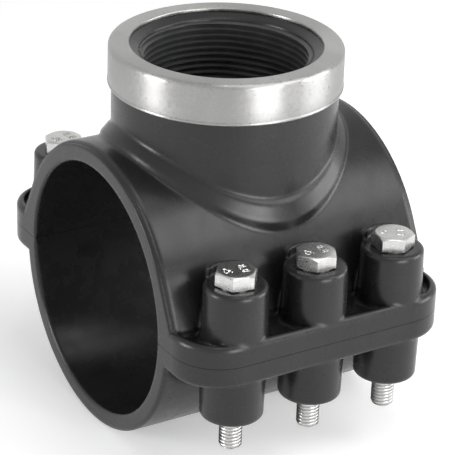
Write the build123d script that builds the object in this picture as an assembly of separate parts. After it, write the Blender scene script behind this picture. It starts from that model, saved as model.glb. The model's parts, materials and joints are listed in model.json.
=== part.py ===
"""Tapping saddle for a 90 mm pipe with a G 2 threaded outlet.

Two black polypropylene half shells clamp round a pipe with three bolts on each side.
The upper half carries the branch: a round outlet with a female pipe thread, held in
shape by a pressed stainless ring, and a rubber saddle seal let into the bore below it.

Frame: Y runs along the pipe, Z up the outlet, X across to the bolt flanges.
The origin lies on the pipe's axis, under the outlet. All sizes are in millimetres.
"""
import os
from math import acos, atan2, cos, hypot, radians, sin, sqrt, tan

from build123d import *

# Pipe and shells
PIPE_D = 90.0
PIPE_R = PIPE_D / 2
SADDLE_LENGTH = 102.0
WALL = 6.0
END_R = PIPE_R + WALL              # outside of the end faces
SHOULDER_STEP = 1.0                # the upper shell stands proud of its end lips
UPPER_R = END_R + SHOULDER_STEP
LIP_LENGTH = 1.4
SPLIT_GAP = 0.15                   # left between the halves when the bolts are tight
BORE_EDGE = 0.5

# Bolt flanges
BOLT_OFFSET = 10.0                 # from the end faces' circle out to the bolt axes
BOLT_X = END_R + BOLT_OFFSET
BOLT_END = 20.0                    # from each end face to the nearest bolt axis
BOLT_PITCH = SADDLE_LENGTH / 2 - BOLT_END
BOLT_ROWS = (-BOLT_PITCH, 0.0, BOLT_PITCH)
FLANGE_BORDER = 11.5               # flange outside the bolt axes
FLANGE_X = BOLT_X + FLANGE_BORDER
FLANGE_HALF = 7.7                  # each half's share of the flange height
FLANGE_CORNER = 17.0
FLANGE_EDGE = 1.8
RIM_WIDTH = 2.6                    # raised rim round the tray in each flange
TRAY_DEPTH = 2.4
FOOT_SPREAD = 2.2                  # the flank leans out by this much at the flange
FOOT_X = END_R + FOOT_SPREAD

# Bosses, their crests, and the webs that tie them to the shell
BOSS_R = 10.8                      # at the free end
DRAFT = 1.4                        # degrees
SEAT_Z = 24.7                      # under the bolt heads
BOSS_BOTTOM_Z = -23.6
BOSS_EDGE = 1.3
BOSS_FOOT = 1.5
CREST_RISE = 3.4                   # raised lip behind each bolt head
CREST_WALL = 1.3
CREST_HALF_ANGLE = 38.0
WEB_HALF = 2.2                     # thin web that ties a boss to the shell
WEB_DROP = 4.0                     # below the crest

# Branch
BRANCH_R = 39.4
BRANCH_HEIGHT = 36.5               # above the pipe
BRANCH_TOP_Z = PIPE_R + BRANCH_HEIGHT
COLLAR_R = 43.0
COLLAR_HEIGHT = 5.3                # above the end faces' circle
COLLAR_BEVEL = 3.0                 # slope down the collar's brow
COLLAR_EDGE = 2.0                  # rounding above and below that slope
COLLAR_FOOT = 1.2
COLLAR_CREASE = 1.0
THREAD_MAJOR_R = 29.8              # G 2
MOUTH_DEPTH = 1.7
THREAD_LENGTH = 25.8
THREAD_TOP_Z = BRANCH_TOP_Z - MOUTH_DEPTH
THREAD_BOTTOM_Z = THREAD_TOP_Z - THREAD_LENGTH
MOUTH_R = 33.8
PORT_R = 26.0

# Pressed ring round the branch
SHEET = 1.2
RING_GAP = 0.05
RING_INNER_R = BRANCH_R + RING_GAP
RING_OUTER_R = RING_INNER_R + SHEET
RING_OVERHANG = 0.4                # past the mouth's edge
RING_OPENING_R = MOUTH_R - RING_OVERHANG
RING_HEIGHT = 14.3
RING_TOP_Z = BRANCH_TOP_Z + SHEET
RING_BOTTOM_Z = RING_TOP_Z - RING_HEIGHT
RING_BEND = 1.7

# Saddle seal in the bore, round the port
SEAL_INNER_R = 28.6
SEAL_WIDTH = 5.6
SEAL_DEPTH = 2.6
SEAL_GAP = 0.1

# M8 bolts and nuts
BOLT_R = 4.0
HEX_FLATS = 13.0
HEX_FACE = 0.95                    # flat end face's width, as a share of the width over flats
HEAD_HEIGHT = 5.3
BOLT_LENGTH = 61.0
BOLT_HOLE_R = 4.5
NUT_HEIGHT = 6.8
NUT_GAP = 0.05
POCKET_GAP = 0.1
POCKET_DEPTH = 7.2
BOLT_TURNS = {                     # how far each hexagon happens to be turned, in degrees
    (1, -1): -9, (1, 0): 1, (1, 1): -32,
    (-1, -1): 8, (-1, 0): 44, (-1, 1): 17,
}


SIDE_NAMES = {1: "right", -1: "left"}
ROW_NAMES = {-1: "front", 0: "middle", 1: "rear"}


def bolt_places():
    """Each bolt's side, row and axis position."""
    for side in (1, -1):
        for row, y in zip((-1, 0, 1), BOLT_ROWS):
            yield side, row, side * BOLT_X, y


def flank_profile(radius, foot_x):
    """Half shell outline: a crown that runs off tangentially to the flange on each side."""
    reach = hypot(foot_x, FLANGE_HALF)
    angle = atan2(FLANGE_HALF, foot_x) + acos(radius / reach)
    touch = (radius * cos(angle), radius * sin(angle))
    with BuildSketch(Plane.XZ) as sketch:
        with BuildLine():
            Line((foot_x, 0), (foot_x, FLANGE_HALF))
            Line((foot_x, FLANGE_HALF), touch)
            ThreePointArc(touch, (0, radius), (-touch[0], touch[1]))
            Line((-touch[0], touch[1]), (-foot_x, FLANGE_HALF))
            Line((-foot_x, FLANGE_HALF), (-foot_x, 0))
            Line((-foot_x, 0), (foot_x, 0))
        make_face()
    return sketch.sketch


def along_pipe(profile, length):
    """Extrude a profile both ways along the pipe."""
    return extrude(profile, length / 2, both=True)


def upper_crown():
    """Solid crown of the upper half: a shoulder between two slimmer end lips."""
    length = SADDLE_LENGTH - 2 * LIP_LENGTH
    shoulder = along_pipe(flank_profile(UPPER_R, FOOT_X + SHOULDER_STEP), length)
    rims = [
        e for e in shoulder.edges()
        if abs(abs(e.center().Y) - length / 2) < 0.01 and e.center().Z > 1
    ]
    shoulder = fillet(rims, 0.8)
    return shoulder + along_pipe(flank_profile(END_R, FOOT_X), SADDLE_LENGTH)


def lower_crown():
    """Solid belly of the lower half, with softly rounded ends."""
    belly = Rot(90, 0, 0) * Cylinder(END_R, SADDLE_LENGTH)
    belly = fillet(belly.edges().filter_by(GeomType.CIRCLE), 1.0)
    return belly & Pos(0, 0, -FLANGE_X) * Box(4 * END_R, 2 * SADDLE_LENGTH, 2 * FLANGE_X)


def flange_plan(inset=0.0):
    """Plan of the right-hand flange, drawn in by the given inset."""
    reach = FLANGE_X - inset
    half = SADDLE_LENGTH / 2 - inset
    start = PIPE_R + 1
    plan = Pos((start + reach) / 2, 0) * Rectangle(reach - start, 2 * half)
    outer = [v for v in plan.vertices() if v.X > reach - 0.01]
    return fillet(outer, FLANGE_CORNER - inset)


def flange():
    """Right-hand half flange, rising from the split, with a tray sunk in its top."""
    plate = extrude(flange_plan(), FLANGE_HALF)
    top = [
        e for e in plate.edges()
        if abs(e.center().Z - FLANGE_HALF) < 0.01 and e.center().X > PIPE_R + 2
    ]
    plate = fillet(top, FLANGE_EDGE)
    tray = Pos(0, 0, FLANGE_HALF - TRAY_DEPTH) * extrude(flange_plan(RIM_WIDTH), FLANGE_HALF)
    return plate - tray


def boss(height):
    """Round tower with draft, standing on the split plane and rounded at its free end."""
    spread = height * tan(radians(DRAFT))
    tower = Pos(0, 0, height / 2) * Cone(BOSS_R + spread, BOSS_R, height)
    return fillet(tower.edges().group_by(Axis.Z)[-1], BOSS_EDGE)


def crest():
    """Raised lip on the shell side of a seat; it starts below the boss's rounded edge."""
    root = 2 * BOSS_EDGE
    height = root + CREST_RISE
    lip = Cylinder(BOSS_R, height) - Cylinder(BOSS_R - CREST_WALL, 2 * height)
    reach = 2 * BOSS_R
    spread = reach * tan(radians(CREST_HALF_ANGLE))
    plan = make_face(Polyline((0, 0), (-reach, spread), (-reach, -spread), close=True))
    wedge = extrude(plan, height, both=True)
    lip = Pos(0, 0, height / 2 - root) * (lip & wedge)
    return fillet(lip.edges().group_by(Axis.Z)[-1], 0.4)


def web(height):
    """Thin upright web from the shell to the back of a boss."""
    depth = BOLT_X - BOSS_R + CREST_WALL / 2 - PIPE_R
    plate = Pos(PIPE_R + depth / 2, 0, height / 2) * Box(depth, 2 * WEB_HALF, height)
    return fillet([e for e in plate.edges().group_by(Axis.Z)[-1] if abs(e.center().Y) > 1], 0.8)


def side_group(seat, with_crests):
    """Flange, bosses and webs of one side of a half, standing on the split plane."""
    group = flange()
    for y in BOLT_ROWS:
        group += Pos(BOLT_X, y) * boss(seat)
        group += Pos(0, y) * web(seat + CREST_RISE - WEB_DROP)
        if with_crests:
            group += Pos(BOLT_X, y, seat) * crest()
    floor = FLANGE_HALF - TRAY_DEPTH
    foot_r = BOSS_R + (seat - floor) * tan(radians(DRAFT))
    rings = [e for e in group.edges().filter_by(GeomType.CIRCLE) if abs(e.center().Z - floor) < 0.01]
    return fillet([e for e in rings if abs(e.radius - foot_r) < 0.05], BOSS_FOOT)


def both_sides(group):
    return group + mirror(group, Plane.YZ)


def bolt_holes():
    """Clearance holes for all the bolts, through both halves."""
    return [Pos(x, y) * Cylinder(BOLT_HOLE_R, 4 * FLANGE_X) for _, _, x, y in bolt_places()]


def pipe_bore():
    """Space for the pipe, with a small flare at each end."""
    bore = Rot(90, 0, 0) * Cylinder(PIPE_R, 2 * SADDLE_LENGTH)
    for side in (1, -1):
        flare = Cone(PIPE_R, PIPE_R + BORE_EDGE, BORE_EDGE)
        bore += Pos(0, side * (SADDLE_LENGTH - BORE_EDGE) / 2) * Rot(-90 * side, 0, 0) * flare
    return bore


def half_space(side):
    """Everything above (1) or below (-1) the split, clear of half the gap."""
    reach = 4 * FLANGE_X
    return Pos(0, 0, side * (reach + SPLIT_GAP) / 2) * Box(reach, reach, reach)


def loops_above(body, level):
    """Edges that run right round the branch's axis, all above the given height."""
    return [e for e in body.edges() if e.length > 4 * COLLAR_R and e.bounding_box().min.Z > level]


def collar():
    """Raised pad where the branch meets the crown; it follows the crown's curve."""
    post = Pos(0, 0, END_R) * Cylinder(COLLAR_R, 2 * END_R)
    pad = post & Rot(90, 0, 0) * Cylinder(END_R + COLLAR_HEIGHT, SADDLE_LENGTH)
    pad = chamfer(loops_above(pad, PIPE_R / 2), COLLAR_BEVEL)
    return fillet(loops_above(pad, PIPE_R / 2), COLLAR_EDGE)


def saddle_seal(gap=0.0):
    """Rubber ring that follows the bore round the port; the gap is left on its fixed sides."""
    tube = Cylinder(SEAL_INNER_R + SEAL_WIDTH - gap, END_R) - Cylinder(SEAL_INNER_R + gap, END_R)
    band = Cylinder(PIPE_R + SEAL_DEPTH - gap, SADDLE_LENGTH) - Cylinder(PIPE_R, SADDLE_LENGTH)
    return Pos(0, 0, END_R / 2 + 4) * tube & Rot(90, 0, 0) * band


def edges_at_radius(body, radius):
    """Edges that start at the given distance from the branch's axis."""
    starts = [(e, e.position_at(0)) for e in body.edges()]
    return [e for e, p in starts if abs(hypot(p.X, p.Y) - radius) < 0.1]


def outlet_space():
    """Cut for the outlet: port, thread at its major diameter, and the mouth's cone."""
    port = Pos(0, 0, END_R) * Cylinder(PORT_R, 2 * END_R)
    depth = THREAD_TOP_Z - THREAD_BOTTOM_Z
    thread = Pos(0, 0, THREAD_BOTTOM_Z + depth / 2) * Cylinder(THREAD_MAJOR_R, depth)
    rise = BRANCH_TOP_Z - THREAD_TOP_Z
    mouth = Pos(0, 0, THREAD_TOP_Z + rise / 2) * Cone(THREAD_MAJOR_R, MOUTH_R, rise)
    return port + thread + mouth


def upper_saddle():
    """Upper half shell with its branch."""
    root = PIPE_R / 2
    height = BRANCH_TOP_Z - root
    branch = Pos(0, 0, root + height / 2) * Cylinder(BRANCH_R, height)
    body = upper_crown() + collar()
    body = fillet(edges_at_radius(body, COLLAR_R), COLLAR_FOOT)
    body += branch
    crease = [e for e in edges_at_radius(body, BRANCH_R) if root + 3 < e.position_at(0).Z < RING_BOTTOM_Z]
    body = fillet(crease, COLLAR_CREASE)
    body += both_sides(side_group(SEAT_Z, True))
    body -= pipe_bore()
    body &= half_space(1)
    body -= outlet_space()
    body -= saddle_seal()
    for hole in bolt_holes():
        body -= hole
    return body


def lower_saddle():
    """Lower half shell, with a pocket for each nut."""
    group = mirror(side_group(-BOSS_BOTTOM_Z, False), Plane.XY)
    body = lower_crown() + both_sides(group)
    body -= pipe_bore()
    body &= half_space(-1)
    pocket = hexagon_bar(HEX_FLATS + 2 * POCKET_GAP, POCKET_DEPTH)
    for hole, (_, _, x, y) in zip(bolt_holes(), bolt_places()):
        body -= hole
        body -= Pos(x, y, BOSS_BOTTOM_Z) * pocket
    return body


def hexagon_bar(flats, height):
    """Hexagonal prism standing on z = 0, with flats facing along X."""
    return extrude(RegularPolygon(flats / 2, 6, major_radius=False, rotation=30), height)


def turned_hexagon(flats, height, ends):
    """Hexagonal prism with the usual 30 degree turning on the chosen ends."""
    corner = flats / sqrt(3)
    face_r = flats / 2 * HEX_FACE
    crown = (corner - face_r) * tan(radians(30))
    bottom = [(face_r, 0), (corner, crown)] if "bottom" in ends else [(corner, 0)]
    top = [(corner, height - crown), (face_r, height)] if "top" in ends else [(corner, height)]
    profile = make_face(Polyline((0, 0), *bottom, *top, (0, height), close=True))
    return hexagon_bar(flats, height) & revolve(Plane.XZ * profile, Axis.Z)


def bolt(turn):
    """M8 hexagon bolt hanging from its seat at z = 0; the thread is left plain."""
    head = Rot(0, 0, turn) * turned_hexagon(HEX_FLATS, HEAD_HEIGHT, ("top",))
    shank = Pos(0, 0, -BOLT_LENGTH / 2) * Cylinder(BOLT_R, BOLT_LENGTH)
    shank = chamfer(shank.edges().group_by(Axis.Z)[0], 0.7)
    return head + shank


def nut():
    """M8 nut standing on z = 0, plain inside."""
    body = turned_hexagon(HEX_FLATS, NUT_HEIGHT, ("top", "bottom"))
    return body - Cylinder(BOLT_R + NUT_GAP, 4 * NUT_HEIGHT)


def reinforcing_ring():
    """Pressed stainless ring: a collar round the branch, turned in over its rim."""
    blank = Cylinder(RING_OUTER_R, RING_HEIGHT)
    blank = fillet(blank.edges().group_by(Axis.Z)[-1], RING_BEND)
    inner = Pos(0, 0, -SHEET) * Cylinder(RING_INNER_R, RING_HEIGHT)
    ring = blank - inner - Cylinder(RING_OPENING_R, 4 * RING_HEIGHT)
    return Pos(0, 0, RING_BOTTOM_Z + RING_HEIGHT / 2) * ring


def export(name, solid):
    solid.label = name
    export_step(solid, f"parts/{name}.step")


def main():
    os.makedirs("parts", exist_ok=True)
    export("upper_saddle", upper_saddle())
    export("lower_saddle", lower_saddle())
    export("saddle_seal", saddle_seal(SEAL_GAP))
    export("reinforcing_ring", reinforcing_ring())
    nut_z = BOSS_BOTTOM_Z + POCKET_DEPTH - NUT_HEIGHT
    for side, row, x, y in bolt_places():
        place = f"{SIDE_NAMES[side]}_{ROW_NAMES[row]}"
        export(f"bolt_{place}", Pos(x, y, SEAT_Z) * bolt(BOLT_TURNS[side, row]))
        export(f"nut_{place}", Pos(x, y, nut_z) * nut())


if __name__ == "__main__":
    main()
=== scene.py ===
"""Looks of a bolted tapping saddle: two black half shells, a threaded outlet, a steel ring and six bolts.

Laid out as an add-on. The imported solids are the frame; this file adds the outlet's thread, the
pressed ring, the bolts' detail, every finish, and the studio. Sizes are in metres, in the frame's
own axes: X across the bolt flanges, Y along the pipe and Z up the outlet.
"""

import json
from math import cos, pi, radians, sin, tan

import bmesh
import bpy
from bpy.props import FloatProperty, FloatVectorProperty, IntProperty, PointerProperty
from bpy.types import Operator, Panel, PropertyGroup
from mathutils import Matrix, Vector


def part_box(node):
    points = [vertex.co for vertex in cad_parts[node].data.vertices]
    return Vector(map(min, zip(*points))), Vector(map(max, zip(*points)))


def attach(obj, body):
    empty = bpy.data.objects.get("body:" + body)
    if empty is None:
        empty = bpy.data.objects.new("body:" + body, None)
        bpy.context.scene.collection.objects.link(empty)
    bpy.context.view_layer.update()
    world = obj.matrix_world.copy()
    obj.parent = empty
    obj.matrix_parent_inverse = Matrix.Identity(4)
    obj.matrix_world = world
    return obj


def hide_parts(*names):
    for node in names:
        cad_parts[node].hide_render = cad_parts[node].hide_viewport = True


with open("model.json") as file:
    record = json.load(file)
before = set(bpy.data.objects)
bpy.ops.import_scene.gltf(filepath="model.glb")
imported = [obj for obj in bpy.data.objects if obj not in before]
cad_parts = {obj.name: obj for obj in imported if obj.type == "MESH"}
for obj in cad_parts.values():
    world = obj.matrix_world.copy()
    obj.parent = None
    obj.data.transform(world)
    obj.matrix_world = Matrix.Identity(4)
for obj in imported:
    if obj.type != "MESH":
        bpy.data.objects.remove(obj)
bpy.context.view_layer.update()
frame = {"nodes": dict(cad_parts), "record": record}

bl_info = {
    "name": "Tapping saddle",
    "version": (1, 0, 0),
    "blender": (4, 5, 0),
    "location": "View3D > Sidebar > Saddle",
    "description": "Threads, bolts, finishes and studio for a bolted tapping saddle",
    "category": "Object",
}

MM = 0.001
BODY = "root"
SHELL_NODES = ("upper_saddle", "lower_saddle")
SEAL_NODE = "saddle_seal"
OUTLET_MOUNT = "outlet"
RING_NODE = "reinforcing_ring"
BOLT_NODES = tuple(sorted(name for name in frame["nodes"] if name.startswith("bolt_")))
NUT_NODES = tuple(sorted(name for name in frame["nodes"] if name.startswith("nut_")))

# How far each bolt head is turned, in degrees, as in the solids.
HEAD_TURNS = {
    "bolt_right_front": -9, "bolt_right_middle": 1, "bolt_right_rear": -32,
    "bolt_left_front": 8, "bolt_left_middle": 44, "bolt_left_rear": 17,
}
# Bars of the plain numerals on the heads: (x0, y0, x1, y1) in a cell 1 wide and 2 high.
NUMERAL_BARS = {
    "8": ((0, 2, 1, 2), (0, 1, 1, 1), (0, 0, 1, 0), (0, 0, 0, 1), (0, 1, 0, 2), (1, 0, 1, 1), (1, 1, 1, 2)),
    "2": ((0, 2, 1, 2), (0, 1, 1, 1), (0, 0, 1, 0), (0, 0, 0, 1), (1, 1, 1, 2)),
    "5": ((0, 2, 1, 2), (0, 1, 1, 1), (0, 0, 1, 0), (1, 0, 1, 1), (0, 1, 0, 2)),
    ".": ((0.42, 0, 0.58, 0),),
}
# What stands on each head, and how far from the head's middle.
HEAD_NUMERALS = (("8.8", 2.5 * MM), ("25", -3.2 * MM))

# A face hidden behind another stays this far off it.
HIDDEN_GAP = 0.01 * MM
# Points of a mesh that are nearer than this become one, and shorter edges go.
WELD = 0.002 * MM
SHORTEST_EDGE = 0.0005 * MM
# Share of a thread flank's slope that is a soft curve; the rest is straight.
SOFT_FLANK = 0.35

# Soft square lamps: each one's side, and its place. They all face the saddle's middle.
LAMPS = {
    "right": (0.5, (0.42, 0.78, 0.2)),
    "left": (0.3, (-0.16, -0.91, 0.21)),
    "front": (0.4, (0.85, 0.1, 0.15)),
    "crown": (0.4, (0.42, 0.4, 0.64)),
    "top": (0.4, (0.1, 0.1, 0.9)),
}
LIT_POINT = (0, 0, 15 * MM)
# Sines of the angles above the horizon where the room's ceiling begins and is full.
CEILING_FROM, CEILING_FULL = 0.45, 0.8
# Half the floor's side, the camera's sensor width in millimetres, and how near and far it sees.
FLOOR_HALF = 3.0
SENSOR_MM = 36
NEAREST, FARTHEST = 0.01, 20


# Settings


def length(name, description, default):
    """A length setting in metres."""
    return FloatProperty(
        name=name, description=description, default=default, unit="LENGTH", min=0.0, precision=5,
    )


def colour(name, description, default):
    """A colour setting, in linear values."""
    return FloatVectorProperty(
        name=name, description=description, default=default, subtype="COLOR", size=3, min=0.0, max=1.0,
    )


def share(name, description, default):
    """A setting from 0 to 1."""
    return FloatProperty(
        name=name, description=description, default=default, subtype="FACTOR", min=0.0, max=1.0,
    )


def watts(name, description, default):
    """A lamp's power."""
    return FloatProperty(name=name, description=description, default=default, min=0.0, unit="POWER")


def angle(name, description, degrees):
    """An angle setting; the default is given in degrees."""
    return FloatProperty(name=name, description=description, default=radians(degrees), subtype="ANGLE")


def count(name, description, default, least, most):
    """A whole number."""
    return IntProperty(name=name, description=description, default=default, min=least, max=most)


class SADDLE_PG_outlet(PropertyGroup):
    pitch: length("Thread pitch", "Distance between crests, 11 threads per inch", 2.3091 * MM)
    depth: length("Thread depth", "From the root to the crest", 1.44 * MM)
    crest: length("Crest width", "Flat and rounded width of each crest", 0.44 * MM)
    root: length("Root width", "Width of the groove's bottom", 0.45 * MM)
    root_gap: length("Root gap", "From the bore's wall to the thread's root", 0.06 * MM)
    top_gap: length("Top gap", "From the bore's mouth down to the thread", 0.6 * MM)
    bottom_gap: length("Bottom gap", "From the thread down to the bore's end", 0.1 * MM)
    drop: length("Drop", "How far the thread's turns are shifted down", 0.4 * MM)
    lead: length("Lead", "Depth over which the first and last turns fade in", 0.5 * MM)
    around: count("Steps round", "Points in each turn", 144, 24, 360)
    rows: count("Rows in a turn", "Points from one crest to the next", 10, 4, 40)


class SADDLE_PG_ring(PropertyGroup):
    sheet: length("Sheet", "Thickness of the ring's sheet", 1.2 * MM)
    bend: length("Bend", "Outside radius of the bend over the rim", 1.7 * MM)
    opening: length("Opening radius", "Radius of the turned-in lip", 33.4 * MM)
    dish: length("Dish", "How far the top face sinks at its middle", 0.05 * MM)
    lip: length("Lip rounding", "Radius on the lip's upper edge", 0.5 * MM)
    lip_drop: length("Lip drop", "How far the lip lies under the ring's top", 0.02 * MM)
    bead: length("Bead", "How far the lower edge is rolled out", 0.16 * MM)
    bead_height: length("Bead height", "Height of the rolled lower edge", 0.95 * MM)
    bead_round: length("Bead rounding", "Radius under the rolled lower edge", 0.35 * MM)
    crease: length("Crease", "Depth of the crease above the bead", 0.07 * MM)
    around: count("Steps round", "Points round the ring", 240, 48, 720)


class SADDLE_PG_bolts(PropertyGroup):
    pitch: length("Thread pitch", "M8 coarse pitch", 1.25 * MM)
    major: length("Thread radius", "Radius over the crests", 3.98 * MM)
    minor: length("Core radius", "Radius in the grooves", 3.32 * MM)
    crest: length("Crest width", "Flat width of each crest", 0.2 * MM)
    root: length("Root width", "Width of the groove's bottom", 0.275 * MM)
    threaded: length("Threaded length", "From the bolt's end upwards", 24.0 * MM)
    point: length("Point", "Depth of the chamfer at the bolt's end", 0.25 * MM)
    flats: length("Width over flats", "Across the head's flats", 12.95 * MM)
    head: length("Head height", "From the seat to the top of the numerals", 5.3 * MM)
    washer: length("Washer face", "Height of the turned face under the head", 0.35 * MM)
    chamfer: angle("Head chamfer", "Slope of the head's turned top edge", 30)
    mark_height: length("Numeral height", "Height of the raised numerals on the head", 2.3 * MM)
    mark_rise: length("Numeral relief", "How far the numerals stand up", 0.16 * MM)
    around: count("Steps round", "Points round a bolt", 72, 24, 240)
    rows: count("Rows in a turn", "Points from one crest to the next", 8, 4, 40)


class SADDLE_PG_finish(PropertyGroup):
    plastic: colour("Shell colour", "Moulded polypropylene", (0.013, 0.0131, 0.0134))
    # Lighter than the shell: partly the cut plastic's paler tone, partly painted light in the deep bore,
    # where little light reaches.
    cut_plastic: colour("Thread colour", "Polypropylene where the thread was cut", (0.045, 0.0452, 0.046))
    plastic_gloss: share("Shell roughness", "Roughness of the moulded skin", 0.27)
    plastic_ior: FloatProperty(
        name="Shell IOR", description="Refractive index of the plastic", default=1.42, min=1.0, max=3.0,
    )
    soft_edge: length("Soft edge", "How far the shading rounds the mouldings' edges", 2.0 * MM)
    sharp_split: length("Sharp split", "How near the split the shading stays sharp", 0.5 * MM)
    ring: colour("Ring colour", "Pressed stainless sheet", (0.38, 0.378, 0.372))
    ring_gloss: share("Ring roughness", "Roughness of the sheet", 0.34)
    ring_stretch: share("Ring stretch", "How far the sheet's gloss is stretched up and down", 0.85)
    zinc: colour("Bolt colour", "Bright plated steel", (0.57, 0.566, 0.556))
    zinc_gloss: share("Bolt roughness", "Roughness of the plating", 0.26)
    rubber: colour("Seal colour", "Black rubber", (0.012, 0.012, 0.012))
    rubber_gloss: share("Seal roughness", "Roughness of the rubber", 0.6)


class SADDLE_PG_studio(PropertyGroup):
    floor: colour("Floor colour", "Pale floor under the saddle", (0.9, 0.9, 0.9))
    right: watts("Right light", "Power of the low soft light on the camera's right", 4.4)
    left: watts("Left light", "Power of the soft light on the camera's left", 5.0)
    front: watts("Front light", "Power of the low soft light that faces the bolts", 4.4)
    crown: watts("Crown light", "Power of the soft light that shines down the crown", 1.8)
    top: watts("Top light", "Power of the soft light overhead", 1.3)
    ambient: share("Ambient", "Brightness of the room for diffuse light", 0.38)
    ceiling: share("Ceiling", "Brightness of the room's ceiling in gloss", 0.7)
    floor_glow: share("Floor glow", "What is added to the floor where it is seen", 0.3)
    azimuth: angle("Azimuth", "Camera's direction round the object", 58.13)
    elevation: angle("Elevation", "Camera's height above the horizon", 25.46)
    roll: angle("Roll", "Camera's turn about its own axis", 2.0)
    distance: length("Distance", "From the camera to its target", 808.9 * MM)
    target: FloatVectorProperty(
        name="Target", description="Point that the camera looks at", default=(4.71 * MM, 0.0, 14.25 * MM),
        subtype="TRANSLATION", unit="LENGTH", size=3, precision=5,
    )
    lens: FloatProperty(name="Lens", description="Focal length in millimetres", default=181.15, min=1)


# Materials


class Finish:
    """A procedural material under construction: its node tree, its shader and where it is sampled."""

    def __init__(self, name, base, metallic=0.0):
        self.material = bpy.data.materials.new(name)
        self.material.use_nodes = True
        self.nodes = self.material.node_tree.nodes
        self.links = self.material.node_tree.links
        self.shader = self.nodes["Principled BSDF"]
        self.base = base
        self.plain("Metallic", metallic)
        self.point = self.nodes.new("ShaderNodeTexCoord").outputs["Object"]
        self.normal = None

    def plain(self, socket, value):
        """Sets a value of the shader that is the same all over the surface."""
        self.shader.inputs[socket].default_value = value

    def drive(self, socket, value):
        """Links a value that varies over the surface to the shader."""
        self.links.new(value, self.shader.inputs[socket])

    def math(self, operation, first, second=None):
        """Result of a calculation on numbers or outputs."""
        node = self.nodes.new("ShaderNodeMath")
        node.operation = operation
        for socket, value in zip(node.inputs, (first, second)):
            if value is None:
                continue
            if isinstance(value, (int, float)):
                socket.default_value = value
            else:
                self.links.new(value, socket)
        return node.outputs[0]

    def axes(self):
        """The X, Y and Z of the sampled point."""
        node = self.nodes.new("ShaderNodeSeparateXYZ")
        self.links.new(self.point, node.inputs[0])
        return node.outputs

    def noise(self, per_metre, detail=3.0, rough=0.5, point=None):
        """Cloudy texture with about that many clouds in a metre."""
        node = self.nodes.new("ShaderNodeTexNoise")
        node.inputs["Scale"].default_value = per_metre
        node.inputs["Detail"].default_value = detail
        node.inputs["Roughness"].default_value = rough
        self.links.new(point or self.point, node.inputs["Vector"])
        return node.outputs["Fac"]

    def spots(self, per_metre):
        """Distance to the nearest of many scattered spots."""
        node = self.nodes.new("ShaderNodeTexVoronoi")
        node.inputs["Scale"].default_value = per_metre
        self.links.new(self.point, node.inputs["Vector"])
        return node.outputs["Distance"]

    def marks_round(self, round_scale, across_scale):
        """Fine marks that run round the Z axis, as on a turned or drawn surface."""
        x, y, z = self.axes()
        radius = self.math("SQRT", self.math("ADD", self.math("MULTIPLY", x, x), self.math("MULTIPLY", y, y)))
        join = self.nodes.new("ShaderNodeCombineXYZ")
        self.links.new(self.math("MULTIPLY", x, round_scale), join.inputs[0])
        self.links.new(self.math("MULTIPLY", y, round_scale), join.inputs[1])
        self.links.new(self.math("MULTIPLY", self.math("ADD", z, radius), across_scale), join.inputs[2])
        return self.noise(1.0, detail=3, rough=0.6, point=join.outputs[0])

    def spread(self, factor, low, high, bottom=0.3, top=0.7):
        """Maps a texture's useful range to the given values."""
        node = self.nodes.new("ShaderNodeMapRange")
        for name, value in zip(("From Min", "From Max", "To Min", "To Max"), (bottom, top, low, high)):
            node.inputs[name].default_value = value
        self.links.new(factor, node.inputs["Value"])
        return node.outputs["Result"]

    def tint(self, factor, dark, light):
        """Varies the colour between two shares of its value."""
        node = self.nodes.new("ShaderNodeMix")
        node.data_type = "RGBA"
        node.inputs["A"].default_value = [c * dark for c in self.base] + [1]
        node.inputs["B"].default_value = [min(1, c * light) for c in self.base] + [1]
        self.links.new(factor, node.inputs["Factor"])
        self.drive("Base Color", node.outputs["Result"])

    def roughness(self, factor, low, high):
        """Varies the roughness between two values."""
        self.drive("Roughness", self.spread(factor, low, high))

    def soften(self, radius, split):
        """Rounds the shading of moulded edges, apart from the sharp ones along the split."""
        off_split = self.math("ABSOLUTE", self.axes()["Z"])
        node = self.nodes.new("ShaderNodeBevel")
        node.samples = 8
        self.links.new(self.spread(off_split, 0, radius, split, split + radius), node.inputs["Radius"])
        self.normal = node.outputs["Normal"]

    def stretch_upwards(self, amount):
        """Stretches the gloss of a turned surface up and down, by an amount that varies over it."""
        tangent = self.nodes.new("ShaderNodeTangent")
        tangent.direction_type, tangent.axis = "RADIAL", "Z"
        self.drive("Tangent", tangent.outputs["Tangent"])
        self.drive("Anisotropic", amount)
        quarter_turn = 0.25
        self.plain("Anisotropic Rotation", quarter_turn)

    def bump(self, height, distance, strength):
        """Adds relief to the shading, on top of what is there."""
        node = self.nodes.new("ShaderNodeBump")
        node.inputs["Distance"].default_value = distance
        node.inputs["Strength"].default_value = strength
        self.links.new(height, node.inputs["Height"])
        if self.normal is not None:
            self.links.new(self.normal, node.inputs["Normal"])
        self.normal = node.outputs["Normal"]
        self.drive("Normal", self.normal)


def moulded_plastic(name):
    """Black polypropylene: fine moulded skin, slow sink ripples, faint cloudiness."""
    settings = bpy.context.scene.saddle_finish
    finish = Finish(name, settings.plastic)
    gloss = settings.plastic_gloss
    cloud = finish.noise(38, detail=4, rough=0.55)
    patches = finish.noise(120, detail=4, rough=0.6)
    ripples = finish.noise(46, detail=1, rough=0.4)
    skin = finish.noise(2600, detail=2, rough=0.6)
    finish.plain("IOR", settings.plastic_ior)
    finish.tint(finish.spread(cloud, 0, 1), dark=0.82, light=1.2)
    finish.roughness(patches, gloss - 0.05, gloss + 0.06)
    finish.soften(settings.soft_edge, settings.sharp_split)
    finish.bump(ripples, distance=0.25 * MM, strength=0.35)
    finish.bump(skin, distance=0.012 * MM, strength=0.5)
    return finish.material


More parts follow.
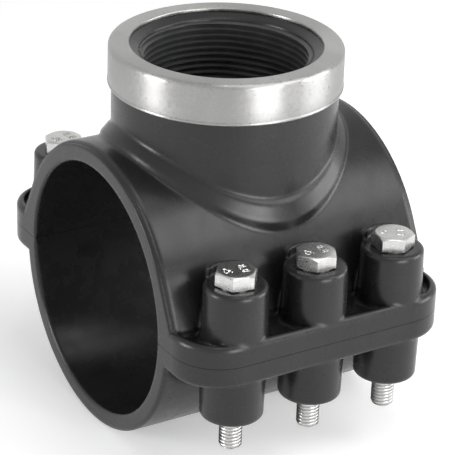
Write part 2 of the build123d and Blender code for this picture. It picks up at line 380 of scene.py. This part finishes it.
def cut_plastic(name):
    """The same plastic where the thread was cut, finely scored round the outlet; its greyer colour is partly
    the cut plastic's paler tone and partly painted light in the dark bore.
    """
    settings = bpy.context.scene.saddle_finish
    finish = Finish(name, settings.cut_plastic)
    gloss = settings.plastic_gloss
    score_marks = finish.marks_round(round_scale=9, across_scale=2600)
    cloud = finish.noise(160, detail=3, rough=0.6)
    finish.plain("IOR", settings.plastic_ior)
    # Painted light: the lighter tone brightens the thread deep in the bore.
    finish.tint(finish.spread(cloud, 0, 1), dark=0.8, light=1.2)
    finish.roughness(score_marks, gloss + 0.02, gloss + 0.2)
    finish.bump(score_marks, distance=0.008 * MM, strength=0.4)
    return finish.material


def ring_sheet(name):
    """Pressed stainless sheet: drawing marks that run round it, and a random mottled tone that is painted
    sheen, standing in for uneven reflections.
    """
    settings = bpy.context.scene.saddle_finish
    finish = Finish(name, settings.ring, metallic=1.0)
    gloss, stretch = settings.ring_gloss, settings.ring_stretch
    drawn = finish.marks_round(round_scale=14, across_scale=1900)
    mottle = finish.noise(900, detail=4, rough=0.6)
    patches = finish.noise(46, detail=2, rough=0.5)
    dents = finish.noise(330, detail=3, rough=0.5)
    mottled_sheen = finish.math("MULTIPLY", patches, mottle)
    # Painted sheen: the mottled tone stands in for the sheet's uneven reflections.
    finish.tint(finish.spread(mottled_sheen, 0, 1, bottom=0.14, top=0.38), dark=0.88, light=1.1)
    finish.roughness(mottle, gloss - 0.09, gloss + 0.16)
    finish.stretch_upwards(finish.spread(mottle, stretch + 0.07, stretch - 0.07))
    finish.bump(drawn, distance=0.012 * MM, strength=0.6)
    finish.bump(dents, distance=0.03 * MM, strength=0.5)
    return finish.material


def bright_zinc(name):
    """Bright plated steel: soft grain, a few dull spots and faint cells in the plating."""
    settings = bpy.context.scene.saddle_finish
    finish = Finish(name, settings.zinc, metallic=1.0)
    gloss = settings.zinc_gloss
    grain = finish.noise(2400, detail=3, rough=0.6)
    dull_spots = finish.noise(320, detail=4, rough=0.6)
    finish.tint(finish.spread(dull_spots, 0, 1), dark=0.9, light=1.06)
    finish.roughness(grain, gloss - 0.05, gloss + 0.14)
    finish.bump(grain, distance=0.006 * MM, strength=0.4)
    finish.bump(finish.spots(620), distance=0.005 * MM, strength=0.2)
    return finish.material


def black_rubber(name):
    """Moulded rubber: dull, with a faint bloom and a fine grain."""
    settings = bpy.context.scene.saddle_finish
    finish = Finish(name, settings.rubber)
    gloss = settings.rubber_gloss
    bloom = finish.noise(90, detail=4, rough=0.6)
    patches = finish.noise(240, detail=3, rough=0.6)
    grain = finish.noise(1800, detail=3, rough=0.6)
    finish.tint(finish.spread(bloom, 0, 1), dark=0.8, light=1.6)
    finish.roughness(patches, gloss - 0.07, gloss + 0.1)
    finish.bump(grain, distance=0.03 * MM, strength=0.5)
    return finish.material


def once(make):
    """The material that a function makes, made the first time that it is asked for."""
    name = make.__name__
    return bpy.data.materials.get(name) or make(name)


def finish_nodes(names, material):
    """Gives CAD pieces a finish; their shapes stay."""
    for name in names:
        node = frame["nodes"][name]
        if not node.material_slots:
            raise RuntimeError(f"{name} has no material slot")
        for slot in node.material_slots:
            slot.material = material


# Meshes


class Shape:
    """Points and faces that grow part by part."""

    def __init__(self):
        self.points, self.faces = [], []

    def add(self, points, faces):
        """Adds a part, whose faces count from its own first point."""
        first = len(self.points)
        self.points += points
        self.faces += [tuple(first + i for i in face) for face in faces]

    def move(self, x, y):
        """Moves the whole shape sideways."""
        self.points = [(px + x, py + y, pz) for px, py, pz in self.points]


def circle(radius, z, around, turn=0.0):
    """Points of a level circle round the Z axis."""
    angles = [2 * pi * i / around + turn for i in range(around)]
    return [(radius * cos(a), radius * sin(a), z) for a in angles]


def joined(rings):
    """The points of all the rings, one ring after the other."""
    return [point for ring in rings for point in ring]


def turned(points, turn):
    """Points turned about the Z axis."""
    cosine, sine = cos(turn), sin(turn)
    return [(x * cosine - y * sine, x * sine + y * cosine, z) for x, y, z in points]


def ring_faces(rows, around):
    """Faces over plain rings that each close on themselves."""
    faces = []
    for row in range(rows - 1):
        for step in range(around):
            after = (step + 1) % around
            a, b = row * around, (row + 1) * around
            faces.append((a + step, a + after, b + after, b + step))
    return faces


def thread_depth(phase, crest, root):
    """Share of the thread's depth at a phase of 0 to 1: 1 over the crest, 0 in the root."""
    away = abs((phase % 1.0) - 0.5) * 2
    high, low = crest, 1 - root
    if away <= high:
        return 1.0
    if away >= low:
        return 0.0
    slope = (low - away) / (low - high)
    curve = slope * slope * (3 - 2 * slope)
    return curve * SOFT_FLANK + slope * (1 - SOFT_FLANK)


def thread_rings(radius_at, pitch, low, high, around, rows, drop=0.0):
    """Rings of points that rise by one pitch in each turn, held between two heights."""
    turns = int((high - low) / pitch) + 3
    rings = []
    for row in range(turns * rows + 1):
        ring = []
        for step in range(around):
            free = low - drop + pitch * (row / rows - 1 + step / around)
            z = min(max(free, low), high)
            a = 2 * pi * step / around
            r = radius_at(z, row / rows)
            ring.append((r * cos(a), r * sin(a), z))
        rings.append(ring)
    return rings


def thread_faces(ring_count, around, rows):
    """Faces over thread rings; the last point of a ring meets the first of the ring one turn up."""
    faces = []
    for row in range(ring_count - 1):
        for step in range(around):
            a, b = row * around + step, (row + 1) * around + step
            if step + 1 < around:
                c, d = b + 1, a + 1
            elif row + 1 + rows < ring_count:
                c, d = (row + 1 + rows) * around, (row + rows) * around
            else:
                continue
            faces.append((a, d, c, b))
    return faces


def outlet_thread_shape(settings, bore_r, low, high):
    """Sleeve with the thread on its inside, closed by a plain back and flat ends."""
    around = settings.around
    root_r = bore_r - settings.root_gap
    back_r = bore_r - HIDDEN_GAP
    crest = settings.crest / settings.pitch
    root = settings.root / settings.pitch

    def radius_at(z, phase):
        room = min(high - z, z - low) / settings.lead
        depth = settings.depth * min(1.0, max(0.0, room))
        return root_r - depth * thread_depth(phase, crest, root)

    rings = thread_rings(radius_at, settings.pitch, low, high, around, settings.rows, settings.drop)
    back = [circle(r, z, around) for r, z in ((root_r, low), (back_r, low), (back_r, high), (root_r, high))]
    shape = Shape()
    shape.add(joined(rings), thread_faces(len(rings), around, settings.rows))
    shape.add(joined(back), ring_faces(len(back), around))
    return shape


def arc(centre_r, centre_z, radius, start, end, steps):
    """Points of a rounded corner in the (r, z) plane, angles in degrees."""
    turns = [radians(start + (end - start) * i / steps) for i in range(steps + 1)]
    return [(centre_r + radius * cos(t), centre_z + radius * sin(t)) for t in turns]


def ring_profile(settings, outer_r, low, high):
    """Closed outline of the pressed ring in the (r, z) plane, from its lower edge upwards."""
    opening, bend, lip, nose = settings.opening, settings.bend, settings.lip, settings.bead_round
    inner_r, under = outer_r - settings.sheet, high - settings.sheet
    bead_r, bead_top = outer_r + settings.bead, low + settings.bead_height
    corner, lip_corner = 0.1 * MM, 0.12 * MM
    shoulder, crease_rise = 0.3 * MM, 0.05 * MM
    # The side has a ring of points this far above the bead and below the bend, so that it shades flat.
    side_low, side_high = 4 * MM, 2 * MM
    return [
        (inner_r + corner, low + corner),
        (inner_r + shoulder, low),
        *arc(bead_r - nose, low + nose, nose, -90, 0, 4),
        (bead_r, bead_top - shoulder),
        (outer_r + settings.bead * 0.6, bead_top - corner),
        (outer_r - settings.crease, bead_top + crease_rise),
        (outer_r, bead_top + shoulder),
        (outer_r, bead_top + side_low),
        (outer_r, high - bend - side_high),
        *arc(outer_r - bend, high - bend, bend, 0, 90, 10),
        ((outer_r + opening) / 2, high - settings.dish),
        *arc(opening + lip, high - lip - settings.lip_drop, lip, 90, 180, 6),
        (opening, under + lip_corner),
        (opening + corner, under),
        (inner_r, under),
        (inner_r, low + corner),
    ]


def lathe(profile, around):
    """Turns a closed outline round the Z axis."""
    closed = profile + profile[:1]
    shape = Shape()
    shape.add(joined(circle(r, z, around) for r, z in closed), ring_faces(len(closed), around))
    return shape


def hex_radius(a, flats, turn):
    """Distance from the centre to the side of a hexagon whose flats face X when it isn't turned."""
    local = (a - turn + pi / 6) % (pi / 3) - pi / 6
    return flats / 2 / cos(local)


def head_rings(settings, seat, top, turn):
    """Rings of a hexagon head from the middle of its top down to the shank."""
    around = settings.around
    angles = [2 * pi * i / around + turn for i in range(around)]
    foot = seat + settings.washer
    face_r = settings.flats / 2 * 0.94
    washer_r = settings.flats / 2 * 0.95
    edge, corner = 0.04 * MM, 0.1 * MM

    def ring(radius, height):
        """Ring whose radius and height are functions of the angle, or plain numbers."""
        radius_at = radius if callable(radius) else lambda a: radius
        height_at = height if callable(height) else lambda a: height
        return [(radius_at(a) * cos(a), radius_at(a) * sin(a), height_at(a)) for a in angles]

    def side(a):
        return hex_radius(a, settings.flats, turn)

    def chamfer(part):
        """Ring at a part of the way out over the head's turned edge."""
        def drop(a):
            return tan(settings.chamfer) * (side(a) - face_r) + 2 * edge

        return ring(lambda a: face_r + part * (side(a) - face_r), lambda a: top - part * drop(a))

    return [
        ring(0.0, top),
        ring(face_r * 0.55, top),
        ring(face_r * 0.93, top),
        ring(face_r, top - edge),
        chamfer(0.5),
        chamfer(1.0),
        ring(side, foot + corner),
        ring(lambda a: side(a) - corner, foot),
        ring(washer_r, foot),
        ring(washer_r, seat + HIDDEN_GAP),
        ring(settings.major, seat + HIDDEN_GAP),
    ]


def numeral_shape(text, settings, centre_y, top):
    """Raised bars of the numerals, with sloped sides, lying on the head."""
    cell_h = settings.mark_height / 2
    cell_w = cell_h * 0.95
    pitch = cell_w * 1.55
    half_bar = settings.mark_height * 0.085
    sunk = 0.05 * MM
    levels = ((half_bar, top - sunk), (half_bar, top), (half_bar * 0.55, top + settings.mark_rise))
    start = -pitch * (len(text) - 1) / 2 - cell_w / 2
    shape = Shape()
    for i, sign in enumerate(text):
        for x0, y0, x1, y1 in NUMERAL_BARS[sign]:
            left, right = start + i * pitch + x0 * cell_w, start + i * pitch + x1 * cell_w
            low, high = centre_y + (y0 - 1) * cell_h, centre_y + (y1 - 1) * cell_h
            bar = []
            for grow, z in levels:
                bar += [
                    (left - grow, low - grow, z), (right + grow, low - grow, z),
                    (right + grow, high + grow, z), (left - grow, high + grow, z),
                ]
            shape.add(bar, ring_faces(len(levels), 4) + [(3, 2, 1, 0), (8, 9, 10, 11)])
    return shape


def bolt_shape(settings, seat, top, end, turn):
    """Bolt about the Z axis: head, shank, rolled thread and chamfered end, with its numerals."""
    around = settings.around
    run_out = end + settings.threaded
    tip_r = settings.minor - settings.point
    crest = settings.crest / settings.pitch
    root = settings.root / settings.pitch
    run_out_slope = 0.4

    def radius_at(z, phase):
        depth = thread_depth(phase, crest, root)
        r = settings.minor + (settings.major - settings.minor) * depth
        r = min(r, tip_r + (z - end))
        return max(r, min(settings.major, settings.major - (run_out - z) * run_out_slope))

    head = head_rings(settings, seat, top, turn)
    shank = [circle(settings.major, z, around, turn) for z in (seat + HIDDEN_GAP, run_out)]
    thread = thread_rings(radius_at, settings.pitch, end, run_out, around, settings.rows)
    tip = [circle(r, end, around, turn) for r in (tip_r, 0.0)]
    shape = Shape()
    shape.add(joined(head), ring_faces(len(head), around))
    shape.add(joined(shank), ring_faces(len(shank), around))
    shape.add(turned(joined(thread), turn), thread_faces(len(thread), around, settings.rows))
    shape.add(joined(tip), ring_faces(len(tip), around))
    for text, centre_y in HEAD_NUMERALS:
        marks = numeral_shape(text, settings, centre_y, top)
        shape.add(turned(marks.points, turn), marks.faces)
    return shape


def add_piece(name, shape, material, smooth_angle):
    """Makes a clean mesh piece that rides on the saddle; edges sharper than the angle stay sharp."""
    mesh = bpy.data.meshes.new(name)
    mesh.from_pydata(shape.points, [], shape.faces)
    work = bmesh.new()
    work.from_mesh(mesh)
    bmesh.ops.remove_doubles(work, verts=work.verts, dist=WELD)
    bmesh.ops.dissolve_degenerate(work, edges=work.edges, dist=SHORTEST_EDGE)
    bmesh.ops.recalc_face_normals(work, faces=work.faces)
    for face in work.faces:
        face.smooth = True
    for edge in work.edges:
        if len(edge.link_faces) == 2 and edge.calc_face_angle(0) > radians(smooth_angle):
            edge.smooth = False
    work.to_mesh(mesh)
    work.free()
    mesh.materials.append(material)
    piece = bpy.data.objects.new(name, mesh)
    bpy.context.scene.collection.objects.link(piece)
    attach(piece, BODY)
    return piece


# Studio


def soft_lamp(name, power, side, place):
    """Soft square lamp that faces the saddle."""
    lamp = bpy.data.lights.new(name, "AREA")
    lamp.shape, lamp.size, lamp.energy = "SQUARE", side, power
    light = bpy.data.objects.new(name, lamp)
    light.location = place
    light.rotation_euler = (Vector(LIT_POINT) - Vector(place)).to_track_quat("-Z", "Y").to_euler()
    bpy.context.scene.collection.objects.link(light)


def seen_ray(nodes, links):
    """1 where the camera, gloss or glass looks, and 0 for diffuse light."""
    path = nodes.new("ShaderNodeLightPath")
    found = path.outputs["Is Camera Ray"]
    for name in ("Is Glossy Ray", "Is Transmission Ray"):
        either = nodes.new("ShaderNodeMath")
        either.operation = "MAXIMUM"
        links.new(found, either.inputs[0])
        links.new(path.outputs[name], either.inputs[1])
        found = either.outputs[0]
    return found


def make_room(settings):
    """World: a white room under a dimmer ceiling where it is seen, and soft light elsewhere."""
    white = (1, 1, 1, 1)
    world = bpy.data.worlds.new("studio")
    world.use_nodes = True
    nodes, links = world.node_tree.nodes, world.node_tree.links
    lit = nodes["Background"]
    lit.inputs["Color"].default_value = white
    lit.inputs["Strength"].default_value = settings.ambient
    direction = nodes.new("ShaderNodeSeparateXYZ")
    links.new(nodes.new("ShaderNodeTexCoord").outputs["Generated"], direction.inputs[0])
    height = nodes.new("ShaderNodeMapRange")
    height.interpolation_type = "SMOOTHSTEP"
    span = (CEILING_FROM, CEILING_FULL, 1.0, settings.ceiling)
    for name, value in zip(("From Min", "From Max", "To Min", "To Max"), span):
        height.inputs[name].default_value = value
    links.new(direction.outputs["Z"], height.inputs["Value"])
    seen = nodes.new("ShaderNodeBackground")
    seen.inputs["Color"].default_value = white
    links.new(height.outputs["Result"], seen.inputs["Strength"])
    mix = nodes.new("ShaderNodeMixShader")
    links.new(seen_ray(nodes, links), mix.inputs["Fac"])
    links.new(lit.outputs[0], mix.inputs[1])
    links.new(seen.outputs[0], mix.inputs[2])
    links.new(mix.outputs[0], nodes["World Output"].inputs["Surface"])
    bpy.context.scene.world = world


def pale_floor(settings):
    """Finish of the floor: faintly mottled and dull, with a glow where it is seen."""
    finish = Finish("pale_floor", settings.floor)
    finish.tint(finish.spread(finish.noise(6), 0, 1), dark=0.98, light=1.02)
    finish.plain("Roughness", 0.9)
    finish.plain("Specular IOR Level", 0.1)
    finish.plain("Emission Color", (1, 1, 1, 1))
    seen = seen_ray(finish.nodes, finish.links)
    finish.drive("Emission Strength", finish.math("MULTIPLY", seen, settings.floor_glow))
    return finish.material


def make_floor(settings, height):
    """Wide pale floor that looks near white and keeps the object's shadow."""
    mesh = bpy.data.meshes.new("floor")
    corners = [(x * FLOOR_HALF, y * FLOOR_HALF, height) for x, y in ((-1, -1), (1, -1), (1, 1), (-1, 1))]
    mesh.from_pydata(corners, [], [(0, 1, 2, 3)])
    mesh.materials.append(pale_floor(settings))
    floor = bpy.data.objects.new("floor", mesh)
    bpy.context.scene.collection.objects.link(floor)


def make_camera(settings):
    """Camera at the saddle's viewing angle, turned a little about its own axis."""
    a, e, roll = settings.azimuth, settings.elevation, settings.roll
    back = Vector((sin(a) * cos(e), -cos(a) * cos(e), sin(e)))
    right = Vector((cos(a), sin(a), 0))
    up = back.cross(right)
    turned_right = right * cos(roll) + up * sin(roll)
    turned_up = up * cos(roll) - right * sin(roll)
    turn = Matrix((turned_right, turned_up, back)).transposed().to_4x4()
    place = Vector(settings.target) + back * settings.distance
    data = bpy.data.cameras.new("camera")
    data.lens, data.sensor_width = settings.lens, SENSOR_MM
    data.clip_start, data.clip_end = NEAREST, FARTHEST
    camera = bpy.data.objects.new("camera", data)
    camera.matrix_world = Matrix.Translation(place) @ turn
    bpy.context.scene.collection.objects.link(camera)
    bpy.context.scene.camera = camera


# Operators


class SADDLE_OT_shells(Operator):
    """Finish both moulded half shells"""

    bl_idname = "saddle.shells"
    bl_label = "Half shells"

    def execute(self, context):
        finish_nodes(SHELL_NODES, once(moulded_plastic))
        return {"FINISHED"}


class SADDLE_OT_outlet_thread(Operator):
    """Cut the female pipe thread into the outlet"""

    bl_idname = "saddle.outlet_thread"
    bl_label = "Outlet thread"

    def execute(self, context):
        settings = context.scene.saddle_outlet
        bore = next(mount for mount in frame["record"]["mounts"] if mount["name"] == OUTLET_MOUNT)
        bore_r, mouth = bore["dims"]["r_mm"] * MM, bore["pos_m"][2]
        end = mouth - bore["dims"]["length_mm"] * MM
        shape = outlet_thread_shape(settings, bore_r, end + settings.bottom_gap, mouth - settings.top_gap)
        add_piece("outlet_thread", shape, once(cut_plastic), smooth_angle=50)
        return {"FINISHED"}


class SADDLE_OT_ring(Operator):
    """Turn the pressed steel ring round the outlet, with its rolled lower edge"""

    bl_idname = "saddle.ring"
    bl_label = "Reinforcing ring"

    def execute(self, context):
        settings = context.scene.saddle_ring
        low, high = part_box(RING_NODE)
        shape = lathe(ring_profile(settings, high.x, low.z, high.z), settings.around)
        piece = add_piece("pressed_ring", shape, once(ring_sheet), smooth_angle=45)
        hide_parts(RING_NODE)
        return {"FINISHED"}


class SADDLE_OT_seal(Operator):
    """Finish the rubber seal in the bore"""

    bl_idname = "saddle.seal"
    bl_label = "Saddle seal"

    def execute(self, context):
        finish_nodes((SEAL_NODE,), once(black_rubber))
        return {"FINISHED"}


class SADDLE_OT_bolts(Operator):
    """Make the six bolts with their heads, numerals and rolled threads"""

    bl_idname = "saddle.bolts"
    bl_label = "Bolts"

    def execute(self, context):
        settings = context.scene.saddle_bolts
        for node in BOLT_NODES:
            low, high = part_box(node)
            middle = (low + high) / 2
            seat, top = high.z - settings.head, high.z - settings.mark_rise
            shape = bolt_shape(settings, seat, top, low.z, radians(HEAD_TURNS[node]))
            shape.move(middle.x, middle.y)
            name = node.replace("bolt_", "threaded_bolt_")
            piece = add_piece(name, shape, once(bright_zinc), smooth_angle=35)
            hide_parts(node)
        return {"FINISHED"}


class SADDLE_OT_nuts(Operator):
    """Finish the six nuts in their pockets"""

    bl_idname = "saddle.nuts"
    bl_label = "Nuts"

    def execute(self, context):
        finish_nodes(NUT_NODES, once(bright_zinc))
        return {"FINISHED"}


class SADDLE_OT_studio(Operator):
    """Set the room, the floor, the lights and the camera"""

    bl_idname = "saddle.studio"
    bl_label = "Studio"

    def execute(self, context):
        settings = context.scene.saddle_studio
        make_room(settings)
        make_floor(settings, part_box("lower_saddle")[0].z)
        for name, (side, place) in LAMPS.items():
            soft_lamp(f"{name}_soft", getattr(settings, name), side, place)
        make_camera(settings)
        context.scene.view_settings.view_transform = "Standard"
        return {"FINISHED"}


OPERATORS = (
    SADDLE_OT_shells,
    SADDLE_OT_outlet_thread,
    SADDLE_OT_ring,
    SADDLE_OT_seal,
    SADDLE_OT_bolts,
    SADDLE_OT_nuts,
    SADDLE_OT_studio,
)
SETTINGS = {
    "saddle_outlet": SADDLE_PG_outlet,
    "saddle_ring": SADDLE_PG_ring,
    "saddle_bolts": SADDLE_PG_bolts,
    "saddle_finish": SADDLE_PG_finish,
    "saddle_studio": SADDLE_PG_studio,
}


class SADDLE_PT_panel(Panel):
    """Lists the saddle's pieces and their settings"""

    bl_idname = "SADDLE_PT_panel"
    bl_label = "Tapping saddle"
    bl_space_type = "VIEW_3D"
    bl_region_type = "UI"
    bl_category = "Saddle"

    def draw(self, context):
        for operator in OPERATORS:
            self.layout.operator(operator.bl_idname)
        for name, group in SETTINGS.items():
            box = self.layout.box()
            for prop in group.__annotations__:
                box.prop(getattr(context.scene, name), prop)


def register():
    """Adds the settings, the operators and the panel."""
    for name, group in SETTINGS.items():
        bpy.utils.register_class(group)
        setattr(bpy.types.Scene, name, PointerProperty(type=group))
    for cls in (*OPERATORS, SADDLE_PT_panel):
        bpy.utils.register_class(cls)


def unregister():
    """Takes them away again, in the opposite order."""
    for cls in reversed((*OPERATORS, SADDLE_PT_panel)):
        bpy.utils.unregister_class(cls)
    for name, group in reversed(SETTINGS.items()):
        delattr(bpy.types.Scene, name)
        bpy.utils.unregister_class(group)


def main():
    """Builds every piece and the stage."""
    register()
    bpy.ops.saddle.shells()
    bpy.ops.saddle.outlet_thread()
    bpy.ops.saddle.ring()
    bpy.ops.saddle.seal()
    bpy.ops.saddle.bolts()
    bpy.ops.saddle.nuts()
    bpy.ops.saddle.studio()


if __name__ == "__main__":
    main()
